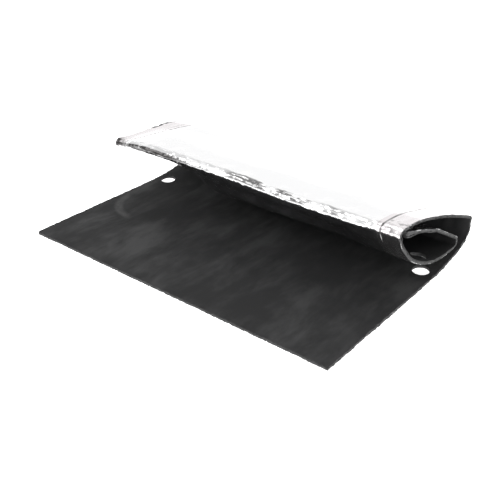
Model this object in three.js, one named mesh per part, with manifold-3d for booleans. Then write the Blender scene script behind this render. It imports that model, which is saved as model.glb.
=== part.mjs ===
// A seedling heat mat, folded over at the rear with its free end rolled under the fold.
// Millimetres, +Z up, X along the width, Y from the front edge to the rear. The origin is under the middle.
import * as THREE from 'three';
import { mergeVertices } from 'three/addons/utils/BufferGeometryUtils.js';
import Module from 'manifold-3d';

// Driving dimensions of the mat lying flat
const WIDTH = 600;
const HALF_WIDTH = WIDTH / 2;
const TAPE_WIDTH = 32;
const HOLE_RADIUS = 14;
const HOLE_INSET = 24; // from a side edge to a hole's centre
const HOLE_FROM_END = 297; // from the front edge, and from the free end, to a hole's centre
const FILM_INSET = 44; // the film stays clear of the holes
const FILM_FROM_END = 12;
const BUSBAR_INSET = 50;
const BUSBAR_WIDTH = 10;

// The sheets of the laminate, as heights above the outer face, which is the tape's
const TAPE = [0, 0.3];
const FOIL = [0.45, 0.75];
const FOAM = [0.9, 3.2];
const FILM = [3.35, 3.6];
const BUSBAR = [3.75, 3.9];
const BLACK_COVER = [4.05, 5];
const THICKNESS = BLACK_COVER[1];

// The outer face's line from the front edge to the free end: [length, left turn in degrees] of each run
const RUNS = [
  [270, 0], // the part that lies flat
  [100, 12],
  [33, 18],
  [28, 60], // the rise at the rear
  [12, 0],
  [10.2, 65], // the rear edge
  [100, 6], // the flap
  [133, 15],
  [10, 2],
  [18.4, 117], // the nose, where the mat turns under
  [12, 0],
  [14, 21],
  [32, 6],
  [44, 11],
  [48, 12],
  [24, 9],
  [48, 6],
  [28.2, 147], // the turn inside the roll
  [85, 6], // the tail
  [13, 16],
  [14, -7],
  [80, -1],
];
const FOLD_STEP = 10; // degrees of turn in one flat facet
const SHORTEST_FACET = 1;
const SIDES = { hole: 32, gland: 24, crimp: 16 }; // flat sides of each round piece
const CUT_PAST = 1; // how far a cutting shape reaches past what it cuts
const LENGTH = RUNS.reduce((sum, [length]) => sum + length, 0);

// The rigid lengths that stand for the flexible mat, and where each one ends along the line
const FOLD_LINES = [437, 705.4];
const LENGTHS = ['bed', 'flap', 'roll'];
const HALF_CUT = 0.15; // half of the gap at a fold line

// Terminal housing, on the black face near the free end
const HOUSING = { length: 70, width: 44, base: 3, height: 13, wall: 2.2, gap: 0.3 };
const HOUSING_X = -200;
const HOUSING_FROM_END = 40;
const CRIMP = { radius: 2.4, length: 18, spacing: 16, off_middle: 70 / 6 };
const GLAND = { radius: 5, bore: 3.2, length: 16, above_base: 5.6, inside: 4, lip: 0.8 };

const COLOURS = {
  black_cover: [0x161617, 0.85, 0],
  heating_film: [0x2a2018, 0.5, 0],
  busbar: [0xb87333, 0.35, 1],
  foam_core: [0x2c2c2e, 0.95, 0],
  foil: [0xdedfe2, 0.25, 1],
  tape: [0xcfcdd0, 0.35, 1],
  housing: [0x1c1c1e, 0.6, 0],
  crimp: [0xc9c2a0, 0.4, 1],
  gland: [0x111112, 0.8, 0],
};

const wasm = await Module();
wasm.setup();

function material(kind) {
  const [color, roughness, metalness] = COLOURS[kind];
  return new THREE.MeshStandardMaterial({ color, roughness, metalness });
}

function toSolid(geometry) {
  const bare = geometry.index ? geometry.clone() : geometry;
  bare.deleteAttribute('normal');
  bare.deleteAttribute('uv');
  const merged = mergeVertices(bare, 1e-4);
  return new wasm.Manifold(new wasm.Mesh({
    numProp: 3,
    vertProperties: new Float32Array(merged.attributes.position.array),
    triVerts: new Uint32Array(merged.index.array),
  }));
}

function toGeometry(solid) {
  const mesh = solid.getMesh();
  const geometry = new THREE.BufferGeometry();
  geometry.setAttribute('position', new THREE.BufferAttribute(new Float32Array(mesh.vertProperties), 3));
  geometry.setIndex([...mesh.triVerts]);
  geometry.computeVertexNormals();
  return geometry;
}

// Where the line is after a length s: its place in Y and Z, and its direction in radians
function lineAt(s) {
  let y = 0;
  let z = 0;
  let direction = 0;
  let left = s;
  for (const [length, turn] of RUNS) {
    const part = Math.min(left, length);
    const turned = THREE.MathUtils.degToRad(turn) * (part / length);
    const chord = turned === 0 ? part : (part * Math.sin(turned / 2)) / (turned / 2);
    y += chord * Math.cos(direction + turned / 2);
    z += chord * Math.sin(direction + turned / 2);
    direction += turned;
    left -= part;
    if (left <= 0) break;
  }
  return { y, z, direction };
}

function raised(s, height) {
  const { y, z, direction } = lineAt(s);
  return new THREE.Vector2(y - height * Math.sin(direction), z + height * Math.cos(direction));
}

// The places along the line between two lengths where a facet ends
function stations(from, to) {
  const places = [from];
  let start = 0;
  for (const [length, turn] of RUNS) {
    const steps = Math.max(1, Math.ceil(Math.abs(turn) / FOLD_STEP));
    for (let i = 1; i <= steps; i += 1) {
      const s = start + (length * i) / steps;
      if (s > from + SHORTEST_FACET && s < to - SHORTEST_FACET) places.push(s);
    }
    start += length;
  }
  places.push(to);
  return places;
}

const turnUpright = new THREE.Matrix4().makeBasis(
  new THREE.Vector3(0, 1, 0),
  new THREE.Vector3(0, 0, 1),
  new THREE.Vector3(1, 0, 0),
);

// One sheet of the laminate between two places on the line, and between two X values
function sheet(from, to, [low, high], xLow, xHigh) {
  const places = stations(from, to);
  const outline = new THREE.Shape([
    ...places.map((s) => raised(s, low)),
    ...places.reverse().map((s) => raised(s, high)),
  ]);
  const geometry = new THREE.ExtrudeGeometry(outline, { depth: xHigh - xLow, steps: 1, bevelEnabled: false });
  geometry.applyMatrix4(turnUpright);
  geometry.translate(xLow, 0, 0);
  return geometry;
}

function withHoles(geometry) {
  let solid = toSolid(geometry);
  for (const s of [HOLE_FROM_END, LENGTH - HOLE_FROM_END]) {
    const { y, z, direction } = lineAt(s);
    for (const side of [-1, 1]) {
      const punch = new THREE.CylinderGeometry(HOLE_RADIUS, HOLE_RADIUS, 4 * THICKNESS, SIDES.hole);
      punch.rotateX(Math.PI / 2 + direction);
      punch.translate(side * (HALF_WIDTH - HOLE_INSET), y, z);
      solid = solid.subtract(toSolid(punch));
    }
  }
  return toGeometry(solid);
}

const heatMat = new THREE.Group();
const line = new THREE.Group();
heatMat.add(line);

function addPiece(group, name, kind, geometry) {
  const mesh = new THREE.Mesh(geometry, material(kind));
  mesh.name = name;
  group.add(mesh);
}

function addLength(name, from, to) {
  const atFront = from === 0;
  const atEnd = to === LENGTH;
  const start = atFront ? 0 : from + HALF_CUT;
  const end = atEnd ? LENGTH : to - HALF_CUT;
  const filmStart = atFront ? FILM_FROM_END : start;
  const filmEnd = atEnd ? LENGTH - FILM_FROM_END : end;
  const filmEdge = HALF_WIDTH - FILM_INSET;
  const busbarOuter = HALF_WIDTH - BUSBAR_INSET;
  const busbarInner = busbarOuter - BUSBAR_WIDTH;
  const tapeInner = HALF_WIDTH - TAPE_WIDTH;
  const fullWidth = [-HALF_WIDTH, HALF_WIDTH];
  const cut = (sides, heights) => withHoles(sheet(start, end, heights, ...sides));
  addPiece(line, `${name}_black_cover`, 'black_cover', cut(fullWidth, BLACK_COVER));
  addPiece(line, `${name}_heating_film`, 'heating_film', sheet(filmStart, filmEnd, FILM, -filmEdge, filmEdge));
  addPiece(line, `${name}_busbar_left`, 'busbar', sheet(filmStart, filmEnd, BUSBAR, -busbarOuter, -busbarInner));
  addPiece(line, `${name}_busbar_right`, 'busbar', sheet(filmStart, filmEnd, BUSBAR, busbarInner, busbarOuter));
  addPiece(line, `${name}_foam_core`, 'foam_core', cut(fullWidth, FOAM));
  addPiece(line, `${name}_foil`, 'foil', cut(fullWidth, FOIL));
  addPiece(line, `${name}_tape_left`, 'tape', cut([-HALF_WIDTH, -tapeInner], TAPE));
  addPiece(line, `${name}_tape_right`, 'tape', cut([tapeInner, HALF_WIDTH], TAPE));
}

const ends = [0, ...FOLD_LINES, LENGTH];
LENGTHS.forEach((name, i) => addLength(name, ends[i], ends[i + 1]));

function boxGeometry(x, y, z, middleX, middleY, middleZ) {
  return new THREE.BoxGeometry(x, y, z).translate(middleX, middleY, middleZ);
}

// The housing in a frame of its own: X along the mat's width, Y along the line, Z away from the black face
function addHousing() {
  const { length, width, base, height, wall, gap } = HOUSING;
  const place = lineAt(LENGTH - HOUSING_FROM_END);
  const seat = raised(LENGTH - HOUSING_FROM_END, THICKNESS);
  const group = new THREE.Group();
  group.position.set(HOUSING_X, seat.x, seat.y);
  group.rotation.x = place.direction;
  line.add(group);

  const baseTop = gap + base;
  const coverLow = baseTop + gap;
  const coverTop = gap + height;
  const glandZ = baseTop + GLAND.above_base;
  addPiece(group, 'terminal_base', 'housing', boxGeometry(length, width, base, 0, 0, gap + base / 2));

  const shell = toSolid(boxGeometry(length, width, coverTop - coverLow, 0, 0, (coverTop + coverLow) / 2));
  const roomHeight = coverTop - wall - coverLow;
  const roomMiddle = coverLow + roomHeight / 2;
  const room = boxGeometry(length - 2 * wall, width - 2 * wall, roomHeight + 2 * CUT_PAST, 0, 0, roomMiddle - CUT_PAST);
  const mouth = new THREE.CylinderGeometry(GLAND.radius + gap, GLAND.radius + gap, 4 * wall, SIDES.gland);
  mouth.rotateZ(Math.PI / 2);
  mouth.translate(-length / 2, 0, glandZ);
  addPiece(group, 'terminal_cover', 'housing', toGeometry(shell.subtract(toSolid(room)).subtract(toSolid(mouth))));

  const gland = new THREE.LatheGeometry([
    new THREE.Vector2(GLAND.bore, -GLAND.inside),
    new THREE.Vector2(GLAND.radius, -GLAND.inside),
    new THREE.Vector2(GLAND.radius, wall),
    new THREE.Vector2(GLAND.bore + GLAND.lip, GLAND.length),
    new THREE.Vector2(GLAND.bore, GLAND.length),
    new THREE.Vector2(GLAND.bore, -GLAND.inside),
  ], SIDES.gland);
  gland.rotateZ(Math.PI / 2);
  gland.translate(-length / 2, 0, glandZ);
  addPiece(group, 'cord_gland', 'gland', gland);

  for (const [name, side] of [['crimp_live', -1], ['crimp_neutral', 1]]) {
    const crimp = new THREE.CylinderGeometry(CRIMP.radius, CRIMP.radius, CRIMP.length, SIDES.crimp);
    crimp.rotateZ(Math.PI / 2);
    crimp.translate(CRIMP.off_middle, (side * CRIMP.spacing) / 2, baseTop + gap + CRIMP.radius);
    addPiece(group, name, 'crimp', crimp);
  }
}
addHousing();

// The rearmost point of the outer face sets the depth, and the mat is centred on it
const depth = Math.max(...stations(0, LENGTH).map((s) => lineAt(s).y));
line.position.y = -depth / 2;

export default heatMat;
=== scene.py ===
import math

import bpy
import numpy as np
from mathutils import Matrix, Vector


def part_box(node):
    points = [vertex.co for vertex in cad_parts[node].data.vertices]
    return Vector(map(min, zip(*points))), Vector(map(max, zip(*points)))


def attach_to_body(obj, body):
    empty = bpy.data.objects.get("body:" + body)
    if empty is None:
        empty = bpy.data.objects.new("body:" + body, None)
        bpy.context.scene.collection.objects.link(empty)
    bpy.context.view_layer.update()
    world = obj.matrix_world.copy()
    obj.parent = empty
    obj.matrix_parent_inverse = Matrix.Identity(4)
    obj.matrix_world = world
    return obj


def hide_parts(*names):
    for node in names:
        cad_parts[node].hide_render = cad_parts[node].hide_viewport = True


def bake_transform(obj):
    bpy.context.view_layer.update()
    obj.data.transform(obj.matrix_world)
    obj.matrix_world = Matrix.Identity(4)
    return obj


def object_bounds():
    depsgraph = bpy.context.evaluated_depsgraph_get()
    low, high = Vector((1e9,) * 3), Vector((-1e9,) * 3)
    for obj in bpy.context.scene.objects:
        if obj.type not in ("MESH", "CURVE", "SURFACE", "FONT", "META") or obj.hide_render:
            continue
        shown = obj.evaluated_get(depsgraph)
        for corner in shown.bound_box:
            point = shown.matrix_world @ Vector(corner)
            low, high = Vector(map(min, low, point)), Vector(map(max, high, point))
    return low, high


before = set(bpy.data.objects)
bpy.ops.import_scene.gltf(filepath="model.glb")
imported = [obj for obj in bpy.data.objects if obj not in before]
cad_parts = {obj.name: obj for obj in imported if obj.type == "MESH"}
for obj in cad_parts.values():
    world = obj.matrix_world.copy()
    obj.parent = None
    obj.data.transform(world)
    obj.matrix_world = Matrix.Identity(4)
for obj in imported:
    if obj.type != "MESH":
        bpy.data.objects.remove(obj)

cad_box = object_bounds()
MM = 0.001

# ---------------------------------------------------------------- the mat's own sizes, in millimetres

core_low, core_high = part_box("bed_foam_core")
HALF_WIDTH = core_high.x / MM
FRONT_Y = core_low.y / MM
# The outer face's line from the front edge to the free end: length and left turn in degrees of each run
RUNS = [
    (270, 0), (100, 12), (33, 18), (28, 60), (12, 0), (10.2, 65),
    (100, 6), (133, 15), (10, 2),
    (18.4, 117), (12, 0), (14, 21), (32, 6), (44, 11), (48, 12), (24, 9), (48, 6),
    (28.2, 147), (85, 6), (13, 16), (14, -7), (80, -1),
]
LENGTH = sum(length for length, _ in RUNS)
TAPE_WIDTH = 32
HOLE_RADIUS = 14
HOLE_INSET = 24
HOLE_FROM_END = 297
FILM_INSET = 44
BUSBAR_INSET = 50
BUSBAR_WIDTH = 10
FILM_FROM_END = 12
HOUSING_X = -200
HOUSING_FROM_END = 40
# Heights of each sheet above the outer face
HEIGHTS = {
    "tape": (0.0, 0.32),
    "foil": (0.36, 0.72),
    "foam_core": (0.74, 3.66),
    "heating_film": (3.68, 3.86),
    "busbar": (3.88, 4.0),
    "black_cover": (4.02, 5.0),
}
# How far apart the grid lines of each sheet are
GRID_STEP = {"tape": 2.5, "foil": 3.2, "foam_core": 6, "heating_film": 8, "busbar": 5, "black_cover": 5}
HOLE_GRID_REACH = 3
HOLE_GRID_LINES = 23
HOLE_RIM_REACH = 4
# Each visible length of a sheet: its name, where it starts and ends, and the bodies at its two ends
SEAMS = (577.0, 818.0)
STRETCHES = [
    ("bed", 0.0, SEAMS[0], "bed", "flap"),
    ("flap", SEAMS[0], SEAMS[1], "flap", "roll"),
    ("roll", SEAMS[1], LENGTH, "roll", None),
]
# The rear fold bends within REAR_REACH above and below the point at REAR_BEND along the mat
REAR_BEND = 416.5
REAR_REACH = 21.0
# The nose bends from the point at NOSE_TOP along the mat, over NOSE_REACH in the direction NOSE_ACROSS (Y, Z)
NOSE_TOP = 696.2
NOSE_REACH = 20.0
NOSE_ACROSS = (-0.31, -0.95)
# Spans along the mat: where an effect starts, is full, begins to fade, and ends. A pair doesn't fade again.
BED_SPAN = (15, 90, 330, 380)
FLAP_SPAN = (470, 540, 820, 900)
NOSE_SPAN = (650, 690, 740, 790)
PUCKER_SPAN = (672, 698, 722, 752)
LEFT_EDGE_SPAN = (462, 500, 640, 670)
OFF_FLOOR = (290, 350)
TAIL_SPAN = (960, 1010)
# How far the laminate waves on each part of the mat
BED_WAVE, FLAP_WAVE, NOSE_WAVE, TAIL_WAVE = 0.55, 0.65, 0.54, 0.7
# How far the folded part is out of straight: raised, dropped, or pushed back
NOSE_CROWN = 7
RIGHT_NOSE_RISE = 3
LEFT_DIP = 15
LEFT_REAR_RISE = 11
LEFT_NOSE_BACK = 16
ROLL_BACK, ROLL_BACK_AT_END = 46, 26
ROLL_LIFT, ROLL_LIFT_AT_END = 14, 10
OFF_BED = (8, 30)
# The free end's opened corner: its share of extra thickness, and how far it reaches along and across the mat
SPLAY, SPLAY_LENGTH, SPLAY_WIDTH = 0.85, 46, 45
# How far the black layers reach past the foil on the flap's left edge
PROUD = 3.6
# A round scuff on the black face: its centre, and its radius
RUB_X = -223
RUB_ALONG = 200
RUB_RADIUS = 61
# Where the foil turns under at the nose and is painted darker as shade, in metres along the mat
UNDERSIDE = (0.709, 0.722)
# The colour of the painted shade along the nose, and of the dark patch at its left corner
NOSE_DARK = (0.05, 0.048, 0.048)
# The pitch of the film's printed strips
STRIP_PITCH = 12


def smooth(value, low, high):
    """0 below low and 1 above high, smooth between."""
    t = np.clip((value - low) / (high - low), 0, 1)
    return t * t * (3 - 2 * t)


def between(value, start, full, fading, end):
    """0 outside start and end, 1 from full to fading, and smooth between."""
    return smooth(value, start, full) * (1 - smooth(value, fading, end))


def line_at(s):
    """Y from the front edge, Z and direction of the outer face's line after each length s."""
    s = np.asarray(s, float)
    y, z, direction = np.zeros_like(s), np.zeros_like(s), np.zeros_like(s)
    start = 0.0
    for length, turn in RUNS:
        part = np.clip(s - start, 0, length)
        half = np.radians(turn) * part / length / 2
        chord = part * np.sinc(half / np.pi)
        y += chord * np.cos(direction + half)
        z += chord * np.sin(direction + half)
        direction += 2 * half
        start += length
    return y, z, direction


def ripples(x, s, seed, count, shortest, longest):
    """A smooth field of about -1 to 1, from waves of random directions and lengths."""
    rng = np.random.default_rng(seed)
    total = np.zeros_like(x)
    for _ in range(count):
        wavelength = shortest * (longest / shortest) ** rng.random()
        angle, phase = rng.random(2) * 2 * np.pi
        total += np.sin((x * np.cos(angle) + s * np.sin(angle)) * 2 * np.pi / wavelength + phase)
    return total / math.sqrt(count)


def creases(x, s, seed, count, shortest, longest):
    """A field of about -1 to 1 with sharp ridges, as in crushed foil."""
    rng = np.random.default_rng(seed)
    bent_x = x + 5 * ripples(x, s, seed + 1, 4, 30, 90)
    bent_s = s + 5 * ripples(x, s, seed + 2, 4, 30, 90)
    total = np.zeros_like(x)
    for _ in range(count):
        wavelength = shortest * (longest / shortest) ** rng.random()
        angle, phase = rng.random(2) * 2 * np.pi
        turns = (bent_x * np.cos(angle) + bent_s * np.sin(angle)) / wavelength + phase
        total += 4 * np.abs(turns - np.floor(turns) - 0.5) - 1
    return total / math.sqrt(count)


def lifted(x, s):
    """How far the whole laminate stands off its plain line, towards the black side."""
    bed = 0.5 * (1 + ripples(x, s, 11, 5, 160, 420)) * between(s, *BED_SPAN)
    flap = ripples(x, s, 12, 7, 90, 260) * between(s, *FLAP_SPAN)
    nose = ripples(x, s, 13, 9, 26, 70) * between(s, *NOSE_SPAN)
    tail = ripples(x, s, 14, 6, 40, 160) * smooth(s, *TAIL_SPAN)
    return BED_WAVE * np.clip(bed, 0, 2) + FLAP_WAVE * flap + NOSE_WAVE * nose + TAIL_WAVE * tail


def splay(x, s):
    """The free end's right corner has opened, so the laminate is thicker there."""
    near_end = smooth(s, LENGTH - SPLAY_LENGTH, LENGTH - 4)
    near_edge = smooth(x, HALF_WIDTH - SPLAY_WIDTH, HALF_WIDTH - 2)
    return SPLAY * near_end * near_edge


def sagged(x, y, z):
    """The folded part isn't straight across. The nose stands higher in the middle and on the right, and dips at
    the left end. On the left the nose is pushed back, the roll goes back and up, and the rear stands higher."""
    forward = 1 - smooth(y, 190, 360)
    above = smooth(z, 12, 70)
    off_bed = smooth(z, *OFF_BED)
    left_end = smooth(-x, 225, 300)
    dip = LEFT_DIP * left_end * smooth(z, 58, 112)
    middle = smooth(x, -285, -190) * (1 - 0.5 * smooth(x, 0, 110))
    crown = NOSE_CROWN * middle * forward * smooth(z, 60, 105)
    rear = LEFT_REAR_RISE * smooth(-x, 50, 300) * smooth(y, 215, 375) * above
    low = between(z, *OFF_BED, 60, 115) * (1 - smooth(y, 290, 440))
    tight = smooth(-x, 80, 250) * low
    roll_back = ROLL_BACK - (ROLL_BACK - ROLL_BACK_AT_END) * left_end
    roll_lift = ROLL_LIFT - (ROLL_LIFT - ROLL_LIFT_AT_END) * left_end
    back = ROLL_BACK_AT_END * left_end * forward * off_bed + roll_back * tight
    back += LEFT_NOSE_BACK * smooth(-x, -290, -150) * forward * between(z, 45, 85, 105, 120)
    right_nose = RIGHT_NOSE_RISE * smooth(x, 190, 300) * forward * smooth(z, 70, 118)
    return y + back, z + rear + crown + right_nose + roll_lift * tight - dip * forward


def place(x, s, height):
    """Points of the mat in the row frame, in metres."""
    y, z, direction = line_at(s)
    off = height * (1 + splay(x, s)) + lifted(x, s)
    y, z = sagged(x, y - off * np.sin(direction), z + off * np.cos(direction))
    return np.stack([x, y + FRONT_Y, z], axis=-1) * MM


def normals(x, s, height_of):
    """Directions towards the black side."""
    step = 0.4
    along = place(x, s + step, height_of(x, s + step)) - place(x, s - step, height_of(x, s - step))
    across = place(x + step, s, height_of(x + step, s)) - place(x - step, s, height_of(x - step, s))
    n = np.cross(across, along)
    return n / np.linalg.norm(n, axis=-1, keepdims=True)


# ---------------------------------------------------------------- sheets


def spaced(low, high, step, centres):
    """Grid lines from low to high, closer together round the holes."""
    lines = list(np.linspace(low, high, max(2, round((high - low) / step) + 1)))
    for c in centres:
        if low < c < high:
            reach = HOLE_RADIUS + HOLE_GRID_REACH
            lines = [v for v in lines if not c - reach < v < c + reach] + list(
                np.linspace(c - reach, c + reach, HOLE_GRID_LINES)
            )
    return np.array(sorted(set(lines)))


def holes():
    """Each hole's X and how far along the mat it is."""
    for s in (HOLE_FROM_END, LENGTH - HOLE_FROM_END):
        for side in (-1, 1):
            yield side * (HALF_WIDTH - HOLE_INSET), s


def ragged(t, seed):
    """How far a knife-cut edge wanders at each place t along it."""
    return 0.7 * ripples(t, t * 0, seed, 10, 6, 20) + 0.4 * ripples(t, t * 0, seed + 1, 4, 60, 200)


def make_object(name, points, faces, loop_normals, uvs, materials, slots):
    mesh = bpy.data.meshes.new(name)
    mesh.from_pydata(points.tolist(), [], faces.tolist())
    mesh.polygons.foreach_set("use_smooth", np.ones(len(faces), bool))
    mesh.polygons.foreach_set("material_index", slots)
    uv_layer = mesh.uv_layers.new(name="metric")
    uv_layer.data.foreach_set("uv", uvs.astype(np.float32).ravel())
    for m in materials:
        mesh.materials.append(m)
    mesh.update()
    mesh.normals_split_custom_set(loop_normals.tolist())
    made = bpy.data.objects.new(name, mesh)
    bpy.context.scene.collection.objects.link(made)
    return made


def sheet(name, s_range, x_range, heights, step, materials, punched=False, crinkle=None, proud=0.0, seed=1):
    """One closed sheet of the laminate. crinkle(x, s) is how far its outer side stands off,
    and proud is how far its left edge reaches past the foil on the flap, here and there."""
    low, high = heights
    stand_off = crinkle or (lambda x, s: np.zeros_like(x))
    centres = list(holes()) if punched else []
    xs = spaced(*x_range, step, sorted({c[0] for c in centres}))
    ss = spaced(*s_range, step, sorted({c[1] for c in centres}))
    x, s = np.meshgrid(xs, ss, indexing="ij")
    index = np.arange(x.size).reshape(x.shape)
    corners = [index[:-1, :-1], index[1:, :-1], index[1:, 1:], index[:-1, 1:]]
    quads = np.stack(corners, axis=-1).reshape(-1, 4)
    x, s = x.ravel(), s.ravel()
    kept = np.ones(len(quads), bool)
    for hx, hs in centres:
        middle = np.hypot(x[quads].mean(1) - hx, s[quads].mean(1) - hs)
        kept &= middle > HOLE_RADIUS
    rim = np.intersect1d(quads[kept].ravel(), quads[~kept].ravel())
    for hx, hs in centres:
        near = rim[np.hypot(x[rim] - hx, s[rim] - hs) < HOLE_RADIUS + HOLE_RIM_REACH]
        away = np.hypot(x[near] - hx, s[near] - hs)
        x[near] = hx + (x[near] - hx) * HOLE_RADIUS / away
        s[near] = hs + (s[near] - hs) * HOLE_RADIUS / away
    quads = quads[kept]
    for side in (-1, 1):
        edge = np.isclose(x, side * HALF_WIDTH)
        x[edge] += side * ragged(s[edge], seed + 40 + side) - side * 0.5
    edge = x < 1 - HALF_WIDTH
    here_and_there = np.clip(0.3 + 1.6 * ripples(s[edge], s[edge] * 0, 61, 5, 18, 70), 0, 1)
    x[edge] -= proud * between(s[edge], *LEFT_EDGE_SPAN) * here_and_there
    for end, way in ((0, 1), (LENGTH, -1)):
        edge = np.isclose(s, end)
        s[edge] += way * (0.5 + ragged(x[edge], seed + 50 + way))
    used, quads = np.unique(quads, return_inverse=True)
    quads = quads.reshape(-1, 4)
    x, s = x[used], s[used]
    outer_height = lambda x, s: low - stand_off(x, s)
    inner_height = lambda x, s: np.full_like(x, high)
    points = np.concatenate([place(x, s, outer_height(x, s)), place(x, s, inner_height(x, s))])
    count = len(x)
    directed = np.concatenate([quads[:, [i, (i + 1) % 4]] for i in range(4)])
    key = np.sort(directed, axis=1)
    _, first, uses = np.unique(key, axis=0, return_index=True, return_counts=True)
    border = directed[first[uses == 1]]
    sides = np.stack([border[:, 0] + count, border[:, 0], border[:, 1], border[:, 1] + count], axis=1)
    outer = quads[:, ::-1]
    inner = quads + count
    faces = np.concatenate([outer, inner, sides])
    n_outer = -normals(x, s, outer_height)
    n_inner = normals(x, s, inner_height)
    corner = points[sides]
    flat = np.cross(corner[:, 1] - corner[:, 0], corner[:, 3] - corner[:, 0])
    flat /= np.maximum(np.linalg.norm(flat, axis=1, keepdims=True), 1e-12)
    loop_normals = np.concatenate(
        [n_outer[outer.ravel()], n_inner[quads.ravel()], np.repeat(flat, 4, axis=0)]
    )
    place_on_sheet = np.concatenate([np.stack([x, s], axis=1)] * 2) * MM
    slots = np.zeros(len(faces), np.int32)
    slots[len(outer) + len(inner):] = len(materials) - 1
    return make_object(name, points, faces, loop_normals, place_on_sheet[faces.ravel()], materials, slots)


def attach(piece, stretch, nodes):
    """The piece takes its nodes' place. The roll's piece rides its body; for the others the ends of the fold at
    their far end are worked out but not used, and the piece stays where it is.
    """
    name, _, _, body, next_body = stretch
    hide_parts(*nodes)
    if next_body is None:
        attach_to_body(piece, body)
        return
    if name == "flap":
        y, z, _ = line_at(NOSE_TOP)
        start = Vector((0, y + FRONT_Y, z)) * MM
        end = start + Vector((0, *NOSE_ACROSS)) * NOSE_REACH * MM
    else:
        y, z, _ = line_at(REAR_BEND)
        middle = Vector((0, y + FRONT_Y, z)) * MM
        way = Vector((0, 0, REAR_REACH)) * MM
        start, end = middle - way, middle + way
    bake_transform(piece)


# ---------------------------------------------------------------- materials


class Nodes:
    """A material's node tree, with short calls for the nodes used here."""

    def __init__(self, name):
        self.material = bpy.data.materials.new(name)
        self.material.use_nodes = True
        self.tree = self.material.node_tree
        self.shader = self.tree.nodes["Principled BSDF"]

    def add(self, kind, **values):
        node = self.tree.nodes.new(kind)
        for key, value in values.items():
            setattr(node, key, value)
        return node

    def link(self, a, b):
        self.tree.links.new(a, b)

    def put(self, socket, value):
        if hasattr(value, "is_output"):
            self.link(value, socket)
        else:
            socket.default_value = value

    def uv(self, stretch=(1, 1)):
        where = self.add("ShaderNodeUVMap", uv_map="metric")
        scaled = self.add("ShaderNodeMapping")
        scaled.inputs["Scale"].default_value = (stretch[0], stretch[1], 1)
        self.link(where.outputs["UV"], scaled.inputs["Vector"])
        return scaled.outputs["Vector"]

    def noise(self, where, size_mm, detail=3.0, roughness=0.5):
        node = self.add("ShaderNodeTexNoise")
        node.inputs["Scale"].default_value = 1 / (size_mm * MM)
        node.inputs["Detail"].default_value = detail
        node.inputs["Roughness"].default_value = roughness
        self.link(where, node.inputs["Vector"])
        return node.outputs["Fac"]

    def bent(self, where, size_mm, amount_mm):
        """where moved about by noise, so that what is drawn there bends."""
        node = self.add("ShaderNodeTexNoise")
        node.inputs["Scale"].default_value = 1 / (size_mm * MM)
        node.inputs["Detail"].default_value = 2.0
        self.link(where, node.inputs["Vector"])
        shift = self.add("ShaderNodeVectorMath", operation="MULTIPLY_ADD")
        self.link(node.outputs["Color"], shift.inputs[0])
        shift.inputs[1].default_value = (amount_mm * MM,) * 3
        self.link(where, shift.inputs[2])
        return shift.outputs[0]

    def map(self, value, low, high, to_low, to_high, smoothly=False):
        node = self.add("ShaderNodeMapRange", interpolation_type="SMOOTHSTEP" if smoothly else "LINEAR")
        self.link(value, node.inputs["Value"])
        node.inputs["From Min"].default_value = low
        node.inputs["From Max"].default_value = high
        node.inputs["To Min"].default_value = to_low
        node.inputs["To Max"].default_value = to_high
        return node.outputs["Result"]

    def rise(self, value, low, high):
        """0 below low and 1 above high, smooth between."""
        return self.map(value, low, high, 0.0, 1.0, True)

    def fall(self, value, low, high):
        """1 below low and 0 above high, smooth between."""
        return self.map(value, low, high, 1.0, 0.0, True)

    def across_and_along(self):
        """How far right of the middle line, and how far from the front edge, in metres."""
        parts = self.add("ShaderNodeSeparateXYZ")
        self.link(self.uv(), parts.inputs["Vector"])
        return parts.outputs["X"], parts.outputs["Y"]

    def band(self, value, low, high, soft):
        """1 between low and high, falling smoothly to 0 outside, all in millimetres."""
        rise = self.rise(value, (low - soft) * MM, low * MM)
        fall = self.fall(value, high * MM, (high + soft) * MM)
        return self.product(rise, fall)

    def math(self, operation, a, b=0.0):
        node = self.add("ShaderNodeMath", operation=operation)
        self.put(node.inputs[0], a)
        self.put(node.inputs[1], b)
        return node.outputs[0]

    def product(self, first, *others):
        for other in others:
            first = self.math("MULTIPLY", first, other)
        return first

    def mix(self, share, a, b):
        node = self.add("ShaderNodeMix", data_type="RGBA")
        self.put(node.inputs["Factor"], share)
        for socket, colour in ((node.inputs[6], a), (node.inputs[7], b)):
            self.put(socket, colour if hasattr(colour, "is_output") else (*colour, 1))
        return node.outputs[2]

    def bump(self, height, distance_mm, strength=1.0):
        node = self.add("ShaderNodeBump")
        node.inputs["Strength"].default_value = strength
        node.inputs["Distance"].default_value = distance_mm * MM
        self.link(height, node.inputs["Height"])
        self.link(node.outputs["Normal"], self.shader.inputs["Normal"])

    def finish(self, colour, roughness, metallic=0.0, specular=0.5):
        self.put(self.shader.inputs["Base Color"], colour if hasattr(colour, "is_output") else (*colour, 1))
        self.put(self.shader.inputs["Roughness"], roughness)
        self.shader.inputs["Metallic"].default_value = metallic
        self.shader.inputs["Specular IOR Level"].default_value = specular
        return self.material


def rubbed_arc(m):
    """A pale curved scuff near the left edge, where something round was stood."""
    across, along = m.across_and_along()
    right = m.math("SUBTRACT", across, RUB_X * MM)
    back = m.math("SUBTRACT", along, RUB_ALONG * MM)
    away = m.math("SQRT", m.math("ADD", m.product(right, right), m.product(back, back)))
    ring = m.band(away, RUB_RADIUS - 3, RUB_RADIUS + 3, 8)
    nearest_corner = m.math("ADD", right, back)
    facing = m.fall(nearest_corner, -1.2 * RUB_RADIUS * MM, -0.8 * RUB_RADIUS * MM)
    patchy = m.map(m.noise(m.uv(), 12, 3, 0.6), 0.3, 0.6, 0.4, 1.0)
    return m.product(ring, facing, patchy)


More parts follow.
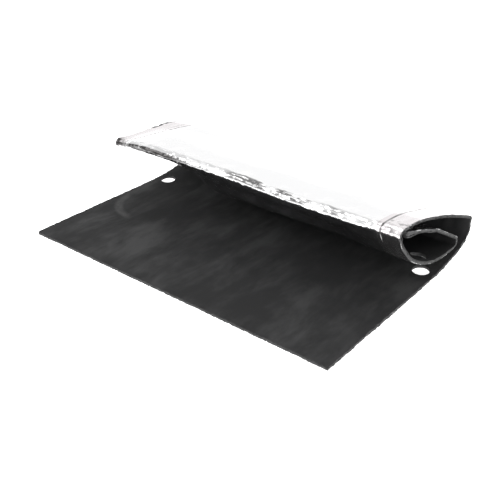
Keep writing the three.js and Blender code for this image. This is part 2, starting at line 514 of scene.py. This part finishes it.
def black_skin():
    """A matt charcoal skin: fine grain, pale specks, soft streaks where it was wiped, and a round scuff."""
    m = Nodes("black_skin")
    where = m.uv()
    streaks = m.noise(m.bent(m.uv((1.0, 0.35)), 90, 40), 34, 4, 0.6)
    cloud = m.noise(where, 150, 3, 0.55)
    grain = m.noise(where, 0.9, 3, 0.6)
    pores = m.noise(where, 3.2, 2, 0.5)
    wiped = m.rise(m.product(streaks, cloud), 0.16, 0.42)
    colour = m.mix(wiped, (0.0175, 0.0175, 0.018), (0.039, 0.039, 0.0395))
    speck = m.map(m.noise(where, 1.6, 2, 0.5), 0.66, 0.74, 0.0, 1.0)
    colour = m.mix(m.product(speck, 0.25), colour, (0.06, 0.06, 0.06))
    colour = m.mix(m.product(rubbed_arc(m), 0.5), colour, (0.085, 0.085, 0.085))
    roughness = m.map(wiped, 0.0, 1.0, 0.8, 0.66)
    height = m.math("ADD", m.product(grain, 0.6), m.product(pores, 0.7))
    m.bump(height, 0.25, 0.55)
    return m.finish(colour, roughness, specular=0.16)


def cut_edge(name, dark, pale):
    """The ragged grey edge that a knife leaves in foam."""
    m = Nodes(name)
    at = m.add("ShaderNodeTexCoord").outputs["Object"]
    tear = m.noise(at, 1.1, 3, 0.65)
    long_tear = m.noise(at, 9, 2, 0.5)
    share = m.map(m.math("ADD", tear, m.product(long_tear, 0.6)), 0.5, 1.1, 0.0, 1.0)
    colour = m.mix(share, dark, pale)
    m.bump(tear, 0.5, 0.8)
    return m.finish(colour, 0.85, specular=0.25)


def foil_edge():
    """The foil's cut edge, painted dark as shade, with painted highlights here and there."""
    m = Nodes("foil_edge")
    at = m.add("ShaderNodeTexCoord").outputs["Object"]
    painted_glints = m.map(m.noise(at, 17, 2, 0.5), 0.54, 0.62, 0.0, 1.0)
    nick = m.map(m.noise(at, 2, 2, 0.5), 0.4, 0.6, 0.4, 1.0)
    # Painted shade on the edge, with painted highlights where the noise peaks
    colour = m.mix(m.product(painted_glints, nick), (0.045, 0.045, 0.046), (0.8, 0.8, 0.8))
    return m.finish(colour, 0.6)


def nose_shade_and_dark_corner(m, across, along):
    """Thin dark streaks of painted shade in the foil's crumples along the nose, a dark line of painted shade
    along the nose's left part, and a dark patch at its left corner.
    """
    streak = m.noise(m.bent(m.uv((0.14, 1.0)), 24, 4), 6, 3, 0.6)
    patch = m.noise(m.uv(), 46, 2, 0.5)
    mostly_right = m.map(m.band(across, 10, 170, 50), 0, 1, 0.35, 1.0)
    # Painted shade in the crumples along the nose
    crumple_shade = m.product(
        m.rise(streak, 0.4, 0.52), m.rise(patch, 0.34, 0.5), m.band(along, 696, 706, 6), mostly_right
    )
    # The line's lower side drops towards the middle of the mat, to meet the shaded underside
    dropped = m.math("SUBTRACT", along, m.map(across, -0.25, -0.17, 0.0, 0.009, True))
    # The line is painted shade along the nose's fold
    line = m.product(
        m.rise(along, 0.702, 0.7045),
        m.fall(dropped, 0.709, 0.7115),
        m.fall(across, -0.16, 0.02),
        m.map(streak, 0.3, 0.46, 0.7, 1.0, True),
    )
    # A dark patch at the nose's left corner; what makes it dark is not known
    corner = m.product(m.band(along, 699, 711, 4), m.fall(across, -0.294, -0.286))
    return m.math("MAXIMUM", m.product(crumple_shade, 0.85), m.math("MAXIMUM", line, corner))


def crinkled_foil():
    """Bright foil with faint wrinkles, crumpled where the mat turns at the nose. Painted shade darkens the
    wrinkle lines and the underside.
    """
    m = Nodes("crinkled_foil")
    across, along = m.across_and_along()
    at_nose = m.band(along, 690, 725, 30)
    ridge = m.math("ABSOLUTE", m.math("SUBTRACT", m.noise(m.bent(m.uv(), 22, 8), 15, 3, 0.5), 0.5))
    dent = m.noise(m.uv(), 34, 2, 0.5)
    fine = m.noise(m.uv(), 2.4, 3, 0.6)
    height = m.math("ADD", m.product(ridge, 1.1), m.product(dent, 0.9))
    height = m.product(height, m.map(at_nose, 0, 1, 0.35, 1.5))
    height = m.math("ADD", height, m.product(fine, 0.04))
    m.bump(height, 2.2, 0.6)
    # Painted shade along the wrinkle lines
    wrinkle_shade = m.map(ridge, 0.0, 0.02, 1.0, 0.0)
    colour = m.mix(m.product(wrinkle_shade, 0.14), (0.965, 0.965, 0.97), (0.8, 0.79, 0.8))
    # Painted shade where the foil turns under the nose
    under = m.rise(along, *UNDERSIDE)
    colour = m.mix(under, colour, m.mix(dent, (0.52, 0.52, 0.53), (0.68, 0.68, 0.69)))
    # Painted shade along the nose, and the dark patch at its left corner
    colour = m.mix(nose_shade_and_dark_corner(m, across, along), colour, NOSE_DARK)
    return m.finish(colour, m.map(fine, 0.3, 0.7, 0.1, 0.18), metallic=1.0)


def foil_tape():
    """Foil tape with a faint warm tint, long fine creases, a grey line along its inner edge, and dark dashes
    along its left edge on the flap. Painted shade darkens it under the nose, with a painted reflection and a
    painted highlight there."""
    m = Nodes("foil_tape")
    across, along = m.across_and_along()
    from_middle = m.math("ABSOLUTE", across)
    lines = m.noise(m.bent(m.uv((1.0, 0.12)), 30, 6), 5, 3, 0.55)
    dent = m.noise(m.uv(), 22, 2, 0.5)
    height = m.math("ADD", m.product(lines, 0.35), dent)
    m.bump(height, 1.2, 0.5)
    colour = m.mix(m.map(lines, 0.35, 0.65, 0.0, 1.0), (0.84, 0.80, 0.81), (0.91, 0.88, 0.89))
    # Painted shade where the tape turns under the nose
    under = m.rise(along, *UNDERSIDE)
    colour = m.mix(under, colour, (0.62, 0.61, 0.61))
    inner = HALF_WIDTH - TAPE_WIDTH
    edge_line = m.band(from_middle, inner - 1, inner + 1.7, 0.9)
    # A grey line along the tape's inner edge, stronger on the right half, left off under the nose
    dark_edge_line = m.product(edge_line, m.math("SUBTRACT", 1.0, under), m.map(across, -0.1, 0.1, 0.3, 1.0))
    broken = m.map(m.noise(m.uv(), 9, 3, 0.6), 0.3, 0.55, 0.6, 1.0)
    colour = m.mix(m.product(dark_edge_line, broken), colour, (0.12, 0.117, 0.115))
    # A painted grey reflection on the tape at the nose
    nose_reflection = m.product(m.band(along, 684, 712, 12), m.map(m.noise(m.uv(), 13, 3, 0.6), 0.5, 0.62, 0.0, 0.7))
    colour = m.mix(nose_reflection, colour, (0.3, 0.29, 0.29))
    # Dark dashes along the tape's left edge on the flap
    flap_left_edge = m.product(m.fall(across, -0.2962, -0.294), m.band(along, 446, 600, 20))
    dashes = m.rise(m.noise(m.uv((0.2, 1.0)), 34, 2, 0.5), 0.42, 0.5)
    colour = m.mix(m.product(flap_left_edge, dashes), colour, (0.03, 0.03, 0.03))
    # Painted shade along the nose, and the dark patch at its left corner
    colour = m.mix(nose_shade_and_dark_corner(m, across, along), colour, NOSE_DARK)
    # A painted highlight on the tape's inner edge under the nose, pale grey and not metal
    edge_under_nose = m.product(m.band(from_middle, inner - 0.2, inner + 0.6, 0.5), under)
    painted_edge_highlight = m.product(edge_under_nose, m.fall(along, 0.722, 0.734))
    colour = m.mix(painted_edge_highlight, colour, (0.55, 0.55, 0.55))
    made = m.finish(colour, m.map(lines, 0.3, 0.7, 0.16, 0.26), metallic=1.0)
    m.put(m.shader.inputs["Metallic"], m.math("SUBTRACT", 1.0, painted_edge_highlight))
    return made


def carbon_film():
    """A polyester film printed with carbon strips, about STRIP_PITCH apart."""
    m = Nodes("carbon_film")
    wave = m.add("ShaderNodeTexWave", bands_direction="Y")
    wave.inputs["Scale"].default_value = 1 / (STRIP_PITCH * MM) / math.pi
    m.link(m.uv(), wave.inputs["Vector"])
    strip = m.map(wave.outputs["Fac"], 0.45, 0.55, 0.0, 1.0)
    colour = m.mix(strip, (0.16, 0.13, 0.09), (0.02, 0.02, 0.02))
    return m.finish(colour, m.map(strip, 0, 1, 0.2, 0.55))


def copper_strip():
    """Bare copper, brushed along its length."""
    m = Nodes("copper_strip")
    brushed = m.noise(m.uv((1, 0.06)), 0.7, 3, 0.5)
    colour = m.mix(brushed, (0.75, 0.36, 0.2), (0.9, 0.55, 0.38))
    m.bump(brushed, 0.03)
    return m.finish(colour, m.map(brushed, 0.2, 0.8, 0.25, 0.45), metallic=1.0)


def moulded(name, colour, roughness):
    """Moulded plastic or rubber with a fine spark-eroded grain."""
    m = Nodes(name)
    at = m.add("ShaderNodeTexCoord").outputs["Object"]
    grain = m.noise(at, 0.5, 2, 0.5)
    cloud = m.noise(at, 12, 2, 0.5)
    tint = m.mix(cloud, tuple(c * 0.8 for c in colour), tuple(c * 1.3 for c in colour))
    m.bump(grain, 0.08, 0.6)
    return m.finish(tint, m.map(grain, 0.3, 0.7, roughness - 0.08, roughness + 0.08), specular=0.4)


def tinned():
    """Tin-plated metal with faint marks."""
    m = Nodes("tinned_metal")
    at = m.add("ShaderNodeTexCoord").outputs["Object"]
    marks = m.noise(at, 1.2, 3, 0.6)
    m.bump(marks, 0.05)
    colour = m.mix(marks, (0.6, 0.58, 0.52), (0.8, 0.78, 0.72))
    return m.finish(colour, m.map(marks, 0, 1, 0.25, 0.5), metallic=1.0)


SKIN = black_skin()
SKIN_EDGE = cut_edge("skin_edge", (0.014, 0.014, 0.0145), (0.07, 0.07, 0.07))
FOAM_EDGE = cut_edge("foam_edge", (0.014, 0.014, 0.0145), (0.1, 0.1, 0.1))
FOIL_EDGE = foil_edge()
FOIL = crinkled_foil()
TAPE = foil_tape()
FILM = carbon_film()
COPPER = copper_strip()


def foil_crinkle(x, s):
    """Foil lifts off the foam a little, most of all in the puckers where the mat turns under."""
    off_floor = smooth(s, *OFF_FLOOR)
    at_nose = between(s, *PUCKER_SPAN)
    facets = (0.55 + 0.45 * creases(x, s, 21, 7, 16, 60)).clip(0, 1.4)
    puckers = (0.5 + 0.5 * ripples(x, s * 0.35, 23, 9, 10, 28)).clip(0, 1.6)
    return off_floor * (0.12 * facets + 0.9 * at_nose * puckers)


def tape_crinkle(x, s):
    """Tape follows the foil, and lies a little flatter at its inner edge."""
    edge = smooth(np.abs(x), HALF_WIDTH - TAPE_WIDTH, HALF_WIDTH - TAPE_WIDTH + 4)
    return foil_crinkle(x, s) * (0.8 + 0.2 * edge) + 0.04 * smooth(s, *OFF_FLOOR)


def layer(kind, where, s_range, x_range, materials, **shape):
    return sheet(f"{kind}_{where}", s_range, x_range, HEIGHTS[kind], GRID_STEP[kind], materials, **shape)


def build_sheets():
    film_edge = HALF_WIDTH - FILM_INSET
    busbar = (HALF_WIDTH - BUSBAR_INSET - BUSBAR_WIDTH, HALF_WIDTH - BUSBAR_INSET)
    tape_inner = HALF_WIDTH - TAPE_WIDTH
    full = (-HALF_WIDTH, HALF_WIDTH)
    for stretch in STRETCHES:
        name, start, end = stretch[:3]
        film_range = (max(start, FILM_FROM_END), min(end, LENGTH - FILM_FROM_END))
        cover = layer(
            "black_cover", name, (start, end), full, [SKIN, SKIN_EDGE], punched=True, proud=PROUD, seed=3
        )
        attach(cover, stretch, [f"{name}_black_cover"])
        foam = layer("foam_core", name, (start, end), full, [FOAM_EDGE], punched=True, proud=PROUD, seed=5)
        attach(foam, stretch, [f"{name}_foam_core"])
        foil = layer(
            "foil", name, (start, end), full, [FOIL, FOIL_EDGE], punched=True, crinkle=foil_crinkle, seed=7
        )
        attach(foil, stretch, [f"{name}_foil"])
        film = layer("heating_film", name, film_range, (-film_edge, film_edge), [FILM])
        attach(film, stretch, [f"{name}_heating_film"])
        for side, edges in (("left", (-busbar[1], -busbar[0])), ("right", busbar)):
            bar = layer("busbar", f"{side}_{name}", film_range, edges, [COPPER])
            attach(bar, stretch, [f"{name}_busbar_{side}"])
        for side, edges in (("left", (-HALF_WIDTH, -tape_inner)), ("right", (tape_inner, HALF_WIDTH))):
            tape = layer(
                "tape", f"{side}_{name}", (start, end), edges, [TAPE, FOIL_EDGE],
                punched=True, crinkle=tape_crinkle, seed=9,
            )
            attach(tape, stretch, [f"{name}_tape_{side}"])


build_sheets()

PLASTIC = moulded("black_plastic", (0.02, 0.02, 0.022), 0.5)
RUBBER = moulded("black_rubber", (0.014, 0.014, 0.014), 0.75)
TINNED = tinned()


def seat_shift():
    """How far the housing's seat on the shaped mat is from its place on the plain line."""
    x, s = HOUSING_X, LENGTH - HOUSING_FROM_END
    y, z, direction = line_at(s)
    high = HEIGHTS["black_cover"][1]
    plain = Vector((x, y - high * math.sin(direction) + FRONT_Y, z + high * math.cos(direction))) * MM
    return Vector(place(np.array([x], float), np.array([s], float), high)[0]) - plain


def rounded(node, finish, radius):
    """The CAD piece with its edges rounded, moved to where the mat really is."""
    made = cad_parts[node].copy()
    made.data = made.data.copy()
    made.name = f"{node}_shown"
    made.parent = None
    bpy.context.scene.collection.objects.link(made)
    made.matrix_world = Matrix.Translation(seat_shift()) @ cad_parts[node].matrix_world
    edges = made.modifiers.new("rounded_edges", "BEVEL")
    edges.width = radius * MM
    edges.segments = 3
    edges.angle_limit = math.radians(40)
    edges.harden_normals = True
    made.data.materials.clear()
    made.data.materials.append(finish)
    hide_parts(node)
    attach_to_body(made, "roll")


rounded("terminal_base", PLASTIC, 0.6)
rounded("terminal_cover", PLASTIC, 0.9)
rounded("cord_gland", RUBBER, 0.35)
rounded("crimp_live", TINNED, 0.3)
rounded("crimp_neutral", TINNED, 0.3)

# ---------------------------------------------------------------- camera, floor and light

PITCH, YAW = math.radians(29.472), math.radians(38.911)
CAMERA_AT = Vector((0.7286, -0.8989, 0.6381))
CAMERA_LENS = 56.16
FLOOR_HALF_SIZE = 30
FLOOR_DROP = 0.0004
FLOOR_GLOW = 0.75
forward = Vector((-math.sin(YAW) * math.cos(PITCH), math.cos(YAW) * math.cos(PITCH), -math.sin(PITCH)))
right = Vector((math.cos(YAW), math.sin(YAW), 0))
up = right.cross(forward)
camera_data = bpy.data.cameras.new("camera")
camera_data.lens = CAMERA_LENS
camera_data.sensor_width = 36
camera_data.clip_end = 50
camera = bpy.data.objects.new("camera", camera_data)
camera.matrix_world = Matrix((
    (right.x, up.x, -forward.x, CAMERA_AT.x),
    (right.y, up.y, -forward.y, CAMERA_AT.y),
    (right.z, up.z, -forward.z, CAMERA_AT.z),
    (0, 0, 0, 1),
))
bpy.context.scene.collection.objects.link(camera)
bpy.context.scene.camera = camera

floor_mesh = bpy.data.meshes.new("floor")
floor_signs = ((-1, -1), (1, -1), (1, 1), (-1, 1))
floor_corners = [(x * FLOOR_HALF_SIZE, y * FLOOR_HALF_SIZE, 0) for x, y in floor_signs]
floor_mesh.from_pydata(floor_corners, [], [(0, 1, 2, 3)])
floor = bpy.data.objects.new("floor", floor_mesh)
bpy.context.scene.collection.objects.link(floor)
floor.location.z = cad_box[0].z - FLOOR_DROP
floor_material = Nodes("pale_floor")
floor_material.shader.inputs["Emission Color"].default_value = (1, 1, 1, 1)
floor_material.shader.inputs["Emission Strength"].default_value = FLOOR_GLOW
floor_mesh.materials.append(floor_material.finish((0.93, 0.93, 0.93), 0.9, specular=0.1))

world = bpy.data.worlds.new("studio")
world.use_nodes = True
world.node_tree.nodes["Background"].inputs["Color"].default_value = (1, 1, 1, 1)
world.node_tree.nodes["Background"].inputs["Strength"].default_value = 1.0
bpy.context.scene.world = world


def area_light(name, place_at, aim, size, power):
    data = bpy.data.lights.new(name, "AREA")
    data.shape = "DISK"
    data.size = size
    data.energy = power
    lamp = bpy.data.objects.new(name, data)
    lamp.location = place_at
    lamp.rotation_euler = (Vector(aim) - Vector(place_at)).to_track_quat("-Z", "Y").to_euler()
    bpy.context.scene.collection.objects.link(lamp)


area_light("overhead", (-0.3, 0.6, 2.2), (0, 0, 0), 1.6, 15)
area_light("front_left", (-1.0, -0.9, 0.9), (-0.2, -0.1, 0), 0.9, 8)
area_light("right_end", (1.3, -0.15, 0.14), (0.3, 0.1, 0.06), 0.3, 4)
bpy.context.scene.view_settings.view_transform = "Standard"
